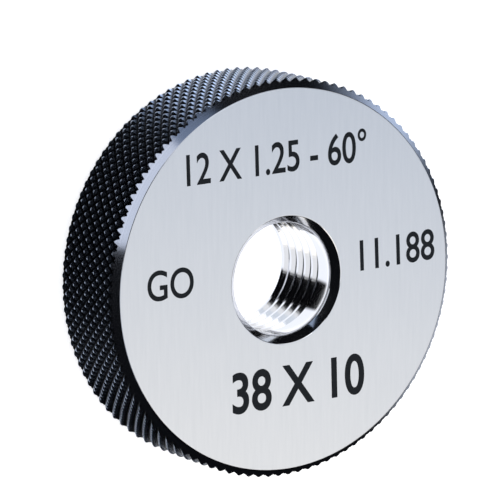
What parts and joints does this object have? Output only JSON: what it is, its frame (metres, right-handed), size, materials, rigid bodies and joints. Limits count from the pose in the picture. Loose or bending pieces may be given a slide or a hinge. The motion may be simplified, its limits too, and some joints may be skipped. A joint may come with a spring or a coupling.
{
  "type": "thread ring gauge",
  "caption": "Solid steel ring gauge with a knurled, chamfered rim and a threaded bore, for checking the outside thread of a screw or bolt.",
  "frame": {"origin": "centre of the back face, on the thread's axis", "axes": "+Z along the thread's axis, out of the marked face, +Y towards the top of the marked face's lettering, +X to the right of it"},
  "size_m": [0.038, 0.038, 0.01],
  "materials": {
    "gauge_steel": "ground and polished, darker in the knurl"
  },
  "bodies": {
    "root": {"gauge_ring": "gauge_steel"}
  },
  "joints": []
}
